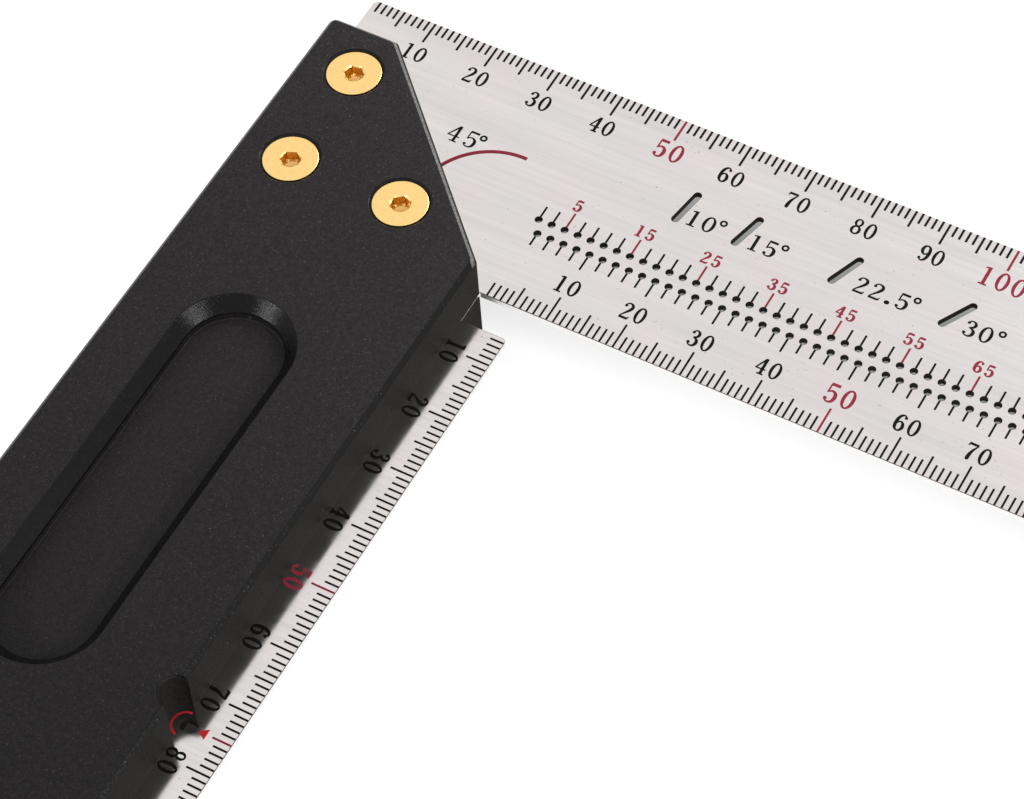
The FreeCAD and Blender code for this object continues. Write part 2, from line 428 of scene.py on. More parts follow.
def screw(node, turn):
    """A countersunk screw as rings about its axis: shank, cone, rim, and the hexagon socket with a
    chamfered mouth and a drilled cone at its bottom."""
    low, high = corners(node)
    head = (high[0] - low[0]) / 2 - HEAD_GAP
    top = high[2]
    neck = top - SCREW_RIM - head + SCREW_RADIUS
    soft = 0.1
    drill_tip = 0.35
    steps = 8
    socket = hexagon(SOCKET_FLATS, turn, steps)
    unit = turned(circle((0, 0), 1, 6 * steps), turn)
    outside = [
        (SCREW_RADIUS, low[2]), (SCREW_RADIUS, neck), (head, top - SCREW_RIM), (head, top - soft),
        (head - soft * 0.3, top - soft * 0.3), (head - soft, top),
    ]
    mouth = SOCKET_FLATS / 2 * 1.2
    rings = [(unit * radius, height) for radius, height in outside]
    rings += [(unit * mouth, top), (socket * 0.995, top - 0.18),
              (socket, top - SOCKET_DEPTH * 0.86), (unit * SOCKET_FLATS * 0.44, top - SOCKET_DEPTH)]
    rings = [np.column_stack([loop + middle(node), np.full(len(loop), height)])
             for loop, height in rings]
    count = len(unit)
    index = np.arange(len(rings) * count).reshape(len(rings), count)
    ahead = np.roll(index, -1, axis=1)
    quads = np.stack([index[:-1], ahead[:-1], ahead[1:], index[1:]], axis=-1).reshape(-1, 4)
    finish = np.repeat([FACE] * (len(outside) + 1) + [SOCKET, FACE], count)
    shell = (np.concatenate(rings), quads, finish)
    tip = fan(rings[0][:, :2], low[2], low[2], FACE, False)
    bottom = fan(rings[-1][:, :2], top - SOCKET_DEPTH, top - SOCKET_DEPTH - drill_tip, FACE, True)
    return [shell, tip, bottom]


# Rulings: thin bars of paint on the plate

PAINT = 0.012
LINE = 0.3
OUTER_NUMBERS = 31.5
INNER_NUMBERS = 4.9
LEDGE_NUMBERS = 0.1
HOLE_NUMBERS = 18.0
ANGLE_NUMBERS = 22.78
DEGREE_RADIUS = 0.41
DEGREE_LINE = 0.32
MITRE_CENTRE = (-6.0, 12.64)
MITRE_RADIUS = 10.42
MITRE_START, MITRE_END = 87.4, 159.0


def bars(x0, x1, y0, y1):
    """Upright-sided bars of paint over the rectangles x0..x1 by y0..y1, all arrays of one length."""
    x0, x1, y0, y1 = np.broadcast_arrays(x0, x1, y0, y1)
    count = len(x0)
    plan = np.stack([np.stack([x0, y0], 1), np.stack([x1, y0], 1),
                     np.stack([x1, y1], 1), np.stack([x0, y1], 1)], axis=1)
    low = np.concatenate([plan, np.full((count, 4, 1), PLATE_TOP - PAINT)], axis=2)
    high = np.concatenate([plan, np.full((count, 4, 1), PLATE_TOP + PAINT)], axis=2)
    box = np.array([[3, 2, 1, 0], [4, 5, 6, 7], [0, 1, 5, 4], [1, 2, 6, 5], [2, 3, 7, 6], [3, 0, 4, 7]])
    points = np.concatenate([low, high], axis=1).reshape(-1, 3)
    quads = (box[None] + np.arange(count)[:, None, None] * 8).reshape(-1, 4)
    return points, quads, np.zeros(len(quads))


def tick_length(labels, one, five, ten):
    """The length of each ruling: every tenth the longest, every fifth the middle one."""
    return np.where(labels % 10 == 0, ten, np.where(labels % 5 == 0, five, one))


def rulings():
    """Every line of the scales, as (labels, x0, x1, y0, y1, red) rows of arrays."""
    half = LINE / 2
    rows = []
    label = np.arange(1, 201)
    x = label + HANDLE_SIDE
    reach = tick_length(label, 2.0, 3.1, 3.9)
    wide = half * 1.15
    rows.append((x - wide, x + wide, BLADE_WIDTH - reach, BLADE_WIDTH - PLATE_EDGE, label % 50 == 0))
    label = np.arange(1, int(BLADE_END) - 1)
    reach = tick_length(label, 2.35, 3.4, 4.2)
    rows.append((label - half, label + half, PLATE_EDGE, reach, label % 50 == 0))
    label = np.arange(6, 121)
    reach = tick_length(label, 2.1, 2.8, 3.5)
    red = (label == 50) | (label == 75)
    rows.append((LEDGE_WIDTH - reach, LEDGE_WIDTH - PLATE_EDGE, -label - half, -label + half, red))
    label = np.arange(1, MARKING_HOLES + 1, 2)
    red = label % 10 == 5
    rim = MARKING_HOLE / 2 + HOLE_EDGE
    rows.append((label - half, label + half, ODD_ROW + rim, np.where(red, 17.65, 16.95), red))
    label = np.arange(2, MARKING_HOLES + 1, 2)
    reach = np.where(label % 10 == 0, 9.4, 10.1)
    rows.append((label - half, label + half, reach, EVEN_ROW - rim, label < 0))
    return [np.concatenate([np.broadcast_to(row[k], row[4].shape) for row in rows]) for k in range(5)]


# Numbers: strokes of (x, y, width) control points, x from the middle of the digit and y from its
# foot, all in digit heights. Rings are (middle height, half width, half height, width at the
# sides, width at top and bottom), dots (x, y, diameter).

HOOK = [(0.17, 0.86, 0.06), (0.10, 0.95, 0.06), (0.0, 0.965, 0.08), (-0.11, 0.88, 0.11),
        (-0.185, 0.69, 0.13), (-0.205, 0.45, 0.135), (-0.18, 0.22, 0.13), (-0.10, 0.075, 0.09),
        (0.01, 0.035, 0.075), (0.12, 0.09, 0.10), (0.185, 0.27, 0.13), (0.145, 0.46, 0.12),
        (0.035, 0.565, 0.08), (-0.08, 0.53, 0.07), (-0.16, 0.40, 0.06)]
STROKES = {
    "1": [[(0.0, 1.0, 0.125), (0.0, 0.0, 0.125)], [(-0.19, 0.035, 0.07), (0.19, 0.035, 0.07)],
          [(-0.02, 0.965, 0.07), (-0.19, 0.915, 0.06)]],
    "2": [[(-0.185, 0.80, 0.07), (-0.15, 0.91, 0.065), (-0.02, 0.965, 0.075), (0.13, 0.90, 0.11),
           (0.175, 0.75, 0.13), (0.10, 0.56, 0.12), (-0.04, 0.36, 0.085), (-0.18, 0.16, 0.06),
           (-0.215, 0.06, 0.06)],
          [(-0.24, 0.055, 0.11), (0.20, 0.055, 0.11)], [(0.195, 0.03, 0.06), (0.235, 0.19, 0.05)]],
    "3": [[(-0.165, 0.82, 0.07), (-0.11, 0.93, 0.065), (0.0, 0.965, 0.075), (0.12, 0.90, 0.105),
           (0.155, 0.76, 0.125), (0.10, 0.62, 0.10), (-0.06, 0.545, 0.06)],
          [(-0.06, 0.545, 0.06), (0.08, 0.50, 0.09), (0.185, 0.38, 0.13), (0.185, 0.20, 0.135),
           (0.10, 0.065, 0.10), (-0.03, 0.035, 0.07), (-0.15, 0.09, 0.065), (-0.19, 0.18, 0.06)]],
    "4": [[(0.10, 1.0, 0.12), (0.10, 0.0, 0.12)], [(0.08, 0.97, 0.085), (-0.235, 0.345, 0.06)],
          [(-0.27, 0.335, 0.065), (0.265, 0.335, 0.065)], [(-0.07, 0.035, 0.07), (0.255, 0.035, 0.07)]],
    "5": [[(-0.185, 0.50, 0.05), (-0.09, 0.585, 0.07), (0.04, 0.60, 0.09), (0.165, 0.48, 0.13),
           (0.185, 0.28, 0.135), (0.12, 0.09, 0.10), (-0.01, 0.035, 0.075), (-0.13, 0.06, 0.06),
           (-0.19, 0.14, 0.06)],
          [(-0.175, 0.95, 0.06), (-0.185, 0.48, 0.06)], [(-0.19, 0.94, 0.12), (0.20, 0.94, 0.12)]],
    "6": [HOOK],
    "7": [[(-0.235, 0.945, 0.11), (0.235, 0.945, 0.11)], [(-0.21, 0.98, 0.06), (-0.245, 0.80, 0.05)],
          [(0.225, 0.93, 0.05), (0.10, 0.70, 0.085), (0.01, 0.46, 0.125), (-0.03, 0.22, 0.15),
           (-0.035, 0.07, 0.15)]],
    "9": [[(-x, 1 - y, width) for x, y, width in HOOK]],
}
RINGS = {"0": [(0.5, 0.27, 0.5, 0.125, 0.075)],
         "8": [(0.755, 0.215, 0.245, 0.105, 0.07), (0.28, 0.255, 0.28, 0.12, 0.075)]}
DOTS = {"2": [(-0.175, 0.785, 0.13)], "3": [(-0.155, 0.82, 0.13), (-0.17, 0.19, 0.14)],
        "5": [(-0.17, 0.165, 0.14)], "6": [(0.155, 0.85, 0.13)], "7": [(-0.035, 0.075, 0.15)],
        "9": [(-0.155, 0.15, 0.13)], ".": [(0.0, 0.11, 0.22)]}


def smoothed(points, steps=3):
    """The curve through the control points: each span is a cubic whose slope at a control point is
    half the way between its two neighbours. Two points give a straight line."""
    points = np.array(points, float)
    if len(points) == 2:
        return points
    whole = np.vstack([2 * points[0] - points[1], points, 2 * points[-1] - points[-2]])
    t = (np.arange(steps) / steps)[:, None, None]
    a, b, c, d = whole[:-3], whole[1:-2], whole[2:-1], whole[3:]
    curve = b + (c - a) * t / 2 + (2 * a - 5 * b + 4 * c - d) * t ** 2 / 2
    curve += (3 * b - a - 3 * c + d) * t ** 3 / 2
    return np.vstack([curve.transpose(1, 0, 2).reshape(-1, 3), points[-1]])


def oval(middle_height, half_width, half_height, side, end, steps=20):
    """A ring's centre line as (x, y, width): an ellipse inside the given outer one by half the
    width, the width going from side to end with the square of the angle's cosine."""
    turn = np.linspace(0, 2 * np.pi, steps + 1)
    width = end + (side - end) * np.cos(turn) ** 2
    x = (half_width - width / 2) * np.cos(turn)
    y = middle_height + (half_height - width / 2) * np.sin(turn)
    return np.column_stack([x, y, width])


def ribbon(line):
    """Quads along a line of (x, y, width), half the width to each side at right angles to it."""
    ahead = np.gradient(line[:, :2], axis=0)
    ahead /= np.linalg.norm(ahead, axis=1)[:, None]
    side = np.column_stack([-ahead[:, 1], ahead[:, 0]]) * line[:, 2:] / 2
    left, right = line[:, :2] + side, line[:, :2] - side
    return list(np.stack([right[:-1], right[1:], left[1:], left[:-1]], axis=1))


def digit(character, weight):
    """One character's patches, one unit high, its strokes as wide as drawn times the weight."""
    lines = [smoothed(stroke) for stroke in STROKES.get(character, [])]
    lines += [oval(*ring) for ring in RINGS.get(character, [])]
    patches = [circle((x, y), width / 2 * weight, 10) for x, y, width in DOTS.get(character, [])]
    for line in lines:
        patches += ribbon(line * [1, 1, weight])
    return patches


def painted(patches):
    """Paint over the union of the patches, which are small loops: triangles just above and just
    below the plate's face, and a wall between them along each side that has no neighbour."""
    points = np.concatenate(patches)
    ends = np.cumsum([len(patch) for patch in patches])
    loops = [list(range(end - len(patch), end)) for end, patch in zip(ends, patches)]
    found, _, faces, _, _, inside = delaunay_2d_cdt(list(map(Vector, points)), [], loops, 1, 1e-5)
    faces = np.array([face for face, patch in zip(faces, inside) if patch])
    count = len(found)
    found = np.column_stack([np.array(found), np.full(count, PLATE_TOP - PAINT)])
    found = np.vstack([found, found + [0, 0, 2 * PAINT]])
    sides = np.stack([faces, np.roll(faces, -1, axis=1)], axis=-1).reshape(-1, 2)
    rim = sides[~np.isin(sides @ [count, 1], sides @ [1, count])]
    wall = np.column_stack([rim, rim[:, ::-1] + count])
    both = np.vstack([faces[:, ::-1], faces + count])
    return [(found, both, np.zeros(len(both))), (found, wall, np.zeros(len(wall)))]


def label(text, place, height, pitch, stretch=1.0, weight=1.0, turn=0):
    """Digits a pitch apart, a point taking less, about the middle of their foot line."""
    room = np.array([0.65 if character == "." else 1.0 for character in text]) * pitch
    offsets = np.cumsum(room) - (room + room.sum()) / 2
    parts = []
    for character, offset in zip(text, offsets):
        parts += painted([turned(patch * [stretch * height, height] + [offset, 0], turn) + place
                          for patch in digit(character, weight)])
    return parts


def scale_numbers():
    """The numbers of the three scales and the marking holes, black ones and red ones."""
    black, red = [], []
    for number in range(10, 200, 10):
        x = number + HANDLE_SIDE
        for place, limit in (((x, OUTER_NUMBERS), 190), ((number, INNER_NUMBERS), 150)):
            if number > limit:
                continue
            if number % 50:
                black += label(str(number), (place[0] - 0.08, place[1]), 2.74, 1.96, weight=1.28)
            else:
                red += label(str(number), (place[0] + 0.22, place[1]), 3.17, 2.35, weight=1.25)
    for number in range(10, 121, 10):
        colour = black if number % 50 else red
        colour += label(str(number), (LEDGE_NUMBERS, -number - 0.1), 2.7, 2.05, weight=1.45, turn=-90)
    for number in range(5, MARKING_HOLES, 10):
        x = number - 0.25 if number < 10 else number
        red += label(str(number), (x, HOLE_NUMBERS), 1.95, 1.62, 1.1, 1.5)
    return black, red


def angle_numbers():
    """The angles beside the slots and at the mitre, each with its degree ring."""
    parts = []
    for text, x, mark in (("10", 20.84, 23.72), ("15", 30.12, 33.0), ("22.5", 47.8, 52.52),
                          ("30", 61.75, 64.83)):
        parts += label(text, (x, ANGLE_NUMBERS), 2.72, 2.3, 1.18, 1.15)
        parts += ring((mark, ANGLE_NUMBERS + 2.4), DEGREE_RADIUS, DEGREE_LINE, 0, 360)
    parts += label("45", (-15.38, 21.17), 2.93, 2.59, 1.18, 1.0)
    parts += ring((-12.63, 23.57), DEGREE_RADIUS, DEGREE_LINE, 0, 360)
    return parts


def ring(centre, radius, line, start, end):
    """A painted line on a circle, its centre line at the radius, from one angle to the other."""
    path = arc(centre, radius, start, end, max(12, int(abs(end - start) * radius / 30)))
    return painted(ribbon(np.column_stack([path, np.full(len(path), line)])))


# Shader building

def add(tree, kind, settings=None, **values):
    """A node with its settings and inputs filled in. An input given a socket is linked to it."""
    made = tree.nodes.new(kind)
    for key, value in (settings or {}).items():
        setattr(made, key, value)
    for key, value in values.items():
        socket = made.inputs[int(key[1:])] if key[1:].isdigit() else made.inputs[key.replace("_", " ")]
        if isinstance(value, bpy.types.NodeSocket):
            tree.links.new(value, socket)
        else:
            socket.default_value = value
    return made


def material(name):
    """An empty node material: its tree, its Principled shader, and its object coordinates."""
    made = bpy.data.materials.new(name)
    made.use_nodes = True
    tree = made.node_tree
    shader = tree.nodes["Principled BSDF"]
    place = tree.nodes.new("ShaderNodeTexCoord").outputs["Object"]
    return made, tree, shader, place


def group(name, inputs, outputs):
    """A node group with float inputs and outputs by name; Vector is its coordinates."""
    tree = bpy.data.node_groups.new(name, "ShaderNodeTree")
    tree.interface.new_socket("Vector", in_out="INPUT", socket_type="NodeSocketVector")
    for label, value in inputs.items():
        tree.interface.new_socket(label, in_out="INPUT", socket_type="NodeSocketFloat").default_value = value
    for label in outputs:
        tree.interface.new_socket(label, in_out="OUTPUT", socket_type="NodeSocketFloat")
    return tree, tree.nodes.new("NodeGroupInput").outputs, tree.nodes.new("NodeGroupOutput").inputs


def grain_group():
    """Blasted grain: fine noise as a height, and a mask of the few brightest grains."""
    tree, given, wanted = group("blasted_grain", {"Scale": 5000.0, "Specks": 0.7}, ("Height", "Mask"))
    fine = add(tree, "ShaderNodeTexNoise", Vector=given["Vector"], Scale=given["Scale"], Detail=3.0,
               Roughness=0.6)
    spots = add(tree, "ShaderNodeTexNoise", Vector=given["Vector"], Scale=given["Scale"], Detail=1.0)
    mask = add(tree, "ShaderNodeMapRange", Value=spots.outputs["Fac"], From_Min=given["Specks"],
               From_Max=1.0)
    tree.links.new(fine.outputs["Fac"], wanted["Height"])
    tree.links.new(mask.outputs["Result"], wanted["Mask"])
    return tree


def streak_group():
    """Brushing: noise drawn out along X, the finer across it the higher Scale is."""
    tree, given, wanted = group("brushed_streaks", {"Scale": 1.0}, ("Height", "Mask"))
    stretch = add(tree, "ShaderNodeVectorMath", {"operation": "MULTIPLY"}, _0=given["Vector"],
                  _1=(30.0, 1400.0, 300.0))
    fine = add(tree, "ShaderNodeTexNoise", Vector=stretch.outputs[0], Scale=given["Scale"], Detail=4.0,
               Roughness=0.7)
    wide = add(tree, "ShaderNodeVectorMath", {"operation": "MULTIPLY"}, _0=given["Vector"],
               _1=(18.0, 320.0, 80.0))
    drift = add(tree, "ShaderNodeTexNoise", Vector=wide.outputs[0], Scale=given["Scale"], Detail=3.0)
    tree.links.new(fine.outputs["Fac"], wanted["Height"])
    tree.links.new(drift.outputs["Fac"], wanted["Mask"])
    return tree


GRAIN = grain_group()
STREAKS = streak_group()


def apply(tree, effect, place, **values):
    """A group placed in a material with its own values."""
    return add(tree, "ShaderNodeGroup", {"node_tree": effect}, Vector=place, **values).outputs


def tint(tree, factor, dark, light, low=0.0, high=1.0):
    """A colour between two, as the factor goes from low to high."""
    ramp = add(tree, "ShaderNodeMapRange", Value=factor, From_Min=low, From_Max=high)
    mix = add(tree, "ShaderNodeMix", {"data_type": "RGBA"}, Factor=ramp.outputs["Result"])
    mix.inputs[6].default_value = (*dark, 1)
    mix.inputs[7].default_value = (*light, 1)
    return mix.outputs[2]


def spread(tree, factor, low, high, start=0.0, end=1.0):
    """A value between low and high as the factor goes from start to end."""
    return add(tree, "ShaderNodeMapRange", Value=factor, From_Min=start, From_Max=end, To_Min=low,
               To_Max=high).outputs["Result"]


def shade(tree, colour, factor):
    """The colour made lighter or darker by the factor."""
    return add(tree, "ShaderNodeVectorMath", {"operation": "SCALE"}, _0=colour, Scale=factor).outputs[0]


def product(tree, one, other):
    """Two values multiplied."""
    return add(tree, "ShaderNodeMath", {"operation": "MULTIPLY"}, _0=one, _1=other).outputs[0]


def steel():
    """Stainless sheet: faint stains under streaks along the blade, a second and fainter set of
    streaks at a small angle, and a few dark pits."""
    made, tree, shader, place = material("brushed_stainless_steel")
    streak = apply(tree, STREAKS, place, Scale=1.0)
    across = add(tree, "ShaderNodeVectorRotate", {"rotation_type": "Z_AXIS"}, Vector=place, Angle=0.08)
    cross = apply(tree, STREAKS, across.outputs[0], Scale=0.7)
    stain = add(tree, "ShaderNodeTexNoise", Vector=place, Scale=70.0, Detail=3.0, Roughness=0.6)
    pits = add(tree, "ShaderNodeTexNoise", Vector=place, Scale=2600.0, Detail=1.0)
    shader.inputs["Metallic"].default_value = 1.0
    colour = tint(tree, stain.outputs["Fac"], (0.72, 0.69, 0.672), (0.745, 0.684, 0.682), 0.4, 0.62)
    colour = shade(tree, colour, spread(tree, streak["Height"], 0.94, 1.05, 0.3, 0.7))
    colour = shade(tree, colour, spread(tree, cross["Mask"], 0.97, 1.03, 0.3, 0.7))
    colour = shade(tree, colour, spread(tree, pits.outputs["Fac"], 1.0, 0.5, 0.74, 0.82))
    tree.links.new(colour, shader.inputs["Base Color"])
    tree.links.new(spread(tree, streak["Mask"], 0.1, 0.15, 0.3, 0.7), shader.inputs["Roughness"])
    bump = add(tree, "ShaderNodeBump", Height=streak["Height"], Strength=0.1, Distance=0.00003)
    tree.links.new(bump.outputs["Normal"], shader.inputs["Normal"])
    return made


def cut_steel():
    """The dark walls of the plate's holes and slots."""
    made, tree, shader, place = material("dark_cut_steel")
    grain = apply(tree, GRAIN, place, Scale=3000.0, Specks=0.7)
    tree.links.new(tint(tree, grain["Height"], (0.012, 0.01, 0.009), (0.03, 0.025, 0.022), 0.3, 0.7),
                   shader.inputs["Base Color"])
    tree.links.new(spread(tree, grain["Height"], 0.45, 0.65), shader.inputs["Roughness"])
    shader.inputs["Specular IOR Level"].default_value = 0.1
    return made


def sheared_steel():
    """The sheet's bright edge, its upper rim coloured dark along the inner scales."""
    made, tree, shader, place = material("sheared_steel_edge")
    grain = apply(tree, GRAIN, place, Scale=3000.0, Specks=0.7)
    at = add(tree, "ShaderNodeSeparateXYZ", Vector=place).outputs
    inner = spread(tree, at["Y"], 1.0, 0.0, 0.5 * MM, 1.0 * MM)
    rim = product(tree, inner, spread(tree, at["Z"], 0.0, 1.0, 0.9 * MM, 0.93 * MM))
    colour = tint(tree, rim, (0.93, 0.92, 0.91), (0.13, 0.12, 0.115))
    tree.links.new(shade(tree, colour, spread(tree, grain["Height"], 0.9, 1.08, 0.3, 0.7)),
                   shader.inputs["Base Color"])
    shader.inputs["Metallic"].default_value = 1.0
    shader.inputs["Roughness"].default_value = 0.35
    return made


def blasted_black():
    """Blasted faces: grain with a few bright specks, and painted light: the whole colour darker towards the
    heel and greyer towards the head, standing in for how the light falls along the handle.
    """
    made, tree, shader, place = material("blasted_black_anodising")
    grain = apply(tree, GRAIN, place, Scale=4200.0, Specks=0.7)
    coarse = apply(tree, GRAIN, place, Scale=1500.0, Specks=0.7)
    colour = tint(tree, grain["Mask"], (0.0225, 0.0203, 0.0212), (0.16, 0.15, 0.15))
    colour = shade(tree, colour, spread(tree, grain["Height"], 0.55, 1.4, 0.3, 0.7))
    colour = shade(tree, colour, spread(tree, coarse["Height"], 0.85, 1.15, 0.35, 0.65))
    # Painted light: the colour is scaled from 0.62 at the heel end to 1.16 at the head, a gradient of light
    # painted into the anodising.
    along = add(tree, "ShaderNodeSeparateXYZ", Vector=place).outputs["Y"]
    colour = shade(tree, colour, spread(tree, along, 0.62, 1.16, -100 * MM, 25 * MM))
    tree.links.new(colour, shader.inputs["Base Color"])
    shader.inputs["Roughness"].default_value = 0.6
    shader.inputs["Specular IOR Level"].default_value = 0.1
    bump = add(tree, "ShaderNodeBump", Height=grain["Height"], Strength=0.5, Distance=0.00006)
    tree.links.new(bump.outputs["Normal"], shader.inputs["Normal"])
    return made


def matt_black():
    """Sawn and milled sides: matt, with a few bright specks."""
    made, tree, shader, place = material("matt_black_anodising")
    grain = apply(tree, GRAIN, place, Scale=2400.0, Specks=0.76)
    colour = tint(tree, grain["Mask"], (0.019, 0.018, 0.0165), (0.5, 0.5, 0.5))
    tree.links.new(shade(tree, colour, spread(tree, grain["Height"], 0.6, 1.4, 0.3, 0.7)),
                   shader.inputs["Base Color"])
    shader.inputs["Roughness"].default_value = 0.5
    shader.inputs["Specular IOR Level"].default_value = 0.02
    bump = add(tree, "ShaderNodeBump", Height=grain["Height"], Strength=0.3, Distance=0.00006)
    tree.links.new(bump.outputs["Normal"], shader.inputs["Normal"])
    return made


def glossy_black():
    """Milled and lightly blasted: dark, with an uneven gloss where a lamp is mirrored."""
    made, tree, shader, place = material("glossy_black_anodising")
    grain = apply(tree, GRAIN, place, Scale=4600.0, Specks=0.73)
    colour = tint(tree, grain["Mask"], (0.004, 0.004, 0.004), (0.3, 0.3, 0.3))
    tree.links.new(colour, shader.inputs["Base Color"])
    tree.links.new(spread(tree, grain["Height"], 0.12, 0.18, 0.3, 0.7), shader.inputs["Roughness"])
    shader.inputs["Specular IOR Level"].default_value = 0.13
    bump = add(tree, "ShaderNodeBump", Height=grain["Height"], Strength=0.6, Distance=0.00007)
    tree.links.new(bump.outputs["Normal"], shader.inputs["Normal"])
    return made


def worn_black():
    """The broken edge and the round above it: dark with bright specks, and along the 45 degree cut
    a painted highlight, a light colour over its upper half in place of a lamp's reflection."""
    made, tree, shader, place = material("worn_black_edge_and_painted_highlight")
    grain = apply(tree, GRAIN, place, Scale=2600.0, Specks=0.7)
    at = add(tree, "ShaderNodeSeparateXYZ", Vector=place).outputs
    # Painted highlight: a band along the 45 degree cut is coloured light grey, standing in for a lamp
    # mirrored in the edge.
    reach = add(tree, "ShaderNodeMath", {"operation": "ADD"}, _0=at["X"], _1=at["Y"]).outputs[0]
    inside = spread(tree, reach, 0.0, 1.0, -1.45 * MM, -1.3 * MM)
    outside = spread(tree, reach, 1.0, 0.0, -0.66 * MM, -0.56 * MM)
    painted_highlight = product(tree, product(tree, inside, outside),
                     spread(tree, grain["Height"], 0.35, 0.8, 0.35, 0.6))
    specks_and_painted_highlight = add(tree, "ShaderNodeMath", {"operation": "MAXIMUM"}, _0=painted_highlight, _1=grain["Mask"]).outputs[0]
    tree.links.new(tint(tree, specks_and_painted_highlight, (0.01, 0.0095, 0.0095), (0.3, 0.29, 0.285)),
                   shader.inputs["Base Color"])
    shader.inputs["Roughness"].default_value = 0.25
    shader.inputs["Specular IOR Level"].default_value = 0.1
    bump = add(tree, "ShaderNodeBump", Height=grain["Height"], Strength=0.8, Distance=0.0001)
    tree.links.new(bump.outputs["Normal"], shader.inputs["Normal"])
    return made


def gold():
    made, tree, shader, place = material("satin_gold_plating")
    grain = apply(tree, GRAIN, place, Scale=4200.0, Specks=0.7)
    colour = tint(tree, grain["Height"], (0.93, 0.62, 0.235), (0.97, 0.68, 0.28), 0.3, 0.7)
    tree.links.new(colour, shader.inputs["Base Color"])
    shader.inputs["Metallic"].default_value = 1.0
    tree.links.new(spread(tree, grain["Height"], 0.26, 0.42, 0.3, 0.7), shader.inputs["Roughness"])
    bump = add(tree, "ShaderNodeBump", Height=grain["Height"], Strength=0.15, Distance=0.00003)
    tree.links.new(bump.outputs["Normal"], shader.inputs["Normal"])
    return made


def socket_gold():
    made, tree, shader, place = material("broached_gold_socket_painted_shade")
    grain = apply(tree, GRAIN, place, Scale=3000.0, Specks=0.7)
    # Painted shade: the socket's walls are a darker, browner gold than the face, standing in for the shade
    # inside the socket.
    tree.links.new(tint(tree, grain["Height"], (0.5, 0.27, 0.06), (0.8, 0.5, 0.16), 0.35, 0.65),
                   shader.inputs["Base Color"])
    shader.inputs["Metallic"].default_value = 1.0
    shader.inputs["Roughness"].default_value = 0.2
    return made


def pin_steel():
    made, tree, shader, place = material("ground_pin_steel")
    streak = apply(tree, STREAKS, place, Scale=2.0)
    shader.inputs["Metallic"].default_value = 1.0
    tree.links.new(tint(tree, streak["Mask"], (0.5, 0.5, 0.52), (0.66, 0.66, 0.67), 0.3, 0.7),
                   shader.inputs["Base Color"])
    tree.links.new(spread(tree, streak["Mask"], 0.2, 0.35), shader.inputs["Roughness"])
    return made


def paint(name, dark, light):
    """Matt filling paint with a fine mottle between the two colours."""
    made, tree, shader, place = material(name)
    grain = apply(tree, GRAIN, place, Scale=3000.0, Specks=0.7)
    tree.links.new(tint(tree, grain["Height"], dark, light, 0.3, 0.7), shader.inputs["Base Color"])
    tree.links.new(spread(tree, grain["Height"], 0.4, 0.6), shader.inputs["Roughness"])
    shader.inputs["Specular IOR Level"].default_value = 0.06
    return made


# The studio

def white_to_the_eye(tree):
    """1 for rays that show the background, straight, mirrored or through glass, and 0 for light."""
    rays = tree.nodes.new("ShaderNodeLightPath").outputs
    seen = add(tree, "ShaderNodeMath", {"operation": "MAXIMUM"}, _0=rays["Is Camera Ray"],
               _1=rays["Is Glossy Ray"])
    return add(tree, "ShaderNodeMath", {"operation": "MAXIMUM"}, _0=seen.outputs[0],
               _1=rays["Is Transmission Ray"]).outputs[0]


def studio_world():
    """Even light from all round, seen as white."""
    world = bpy.data.worlds.new("studio")
    bpy.context.scene.world = world
    world.use_nodes = True
    tree = world.node_tree
    tree.nodes.clear()
    light = add(tree, "ShaderNodeBackground", Color=(1, 1, 1, 1), Strength=0.5)
    white = add(tree, "ShaderNodeBackground", Color=(1, 1, 1, 1), Strength=1.0)
    mix = add(tree, "ShaderNodeMixShader", _0=white_to_the_eye(tree), _1=light.outputs[0],
              _2=white.outputs[0])
    output = tree.nodes.new("ShaderNodeOutputWorld")
    tree.links.new(mix.outputs[0], output.inputs["Surface"])


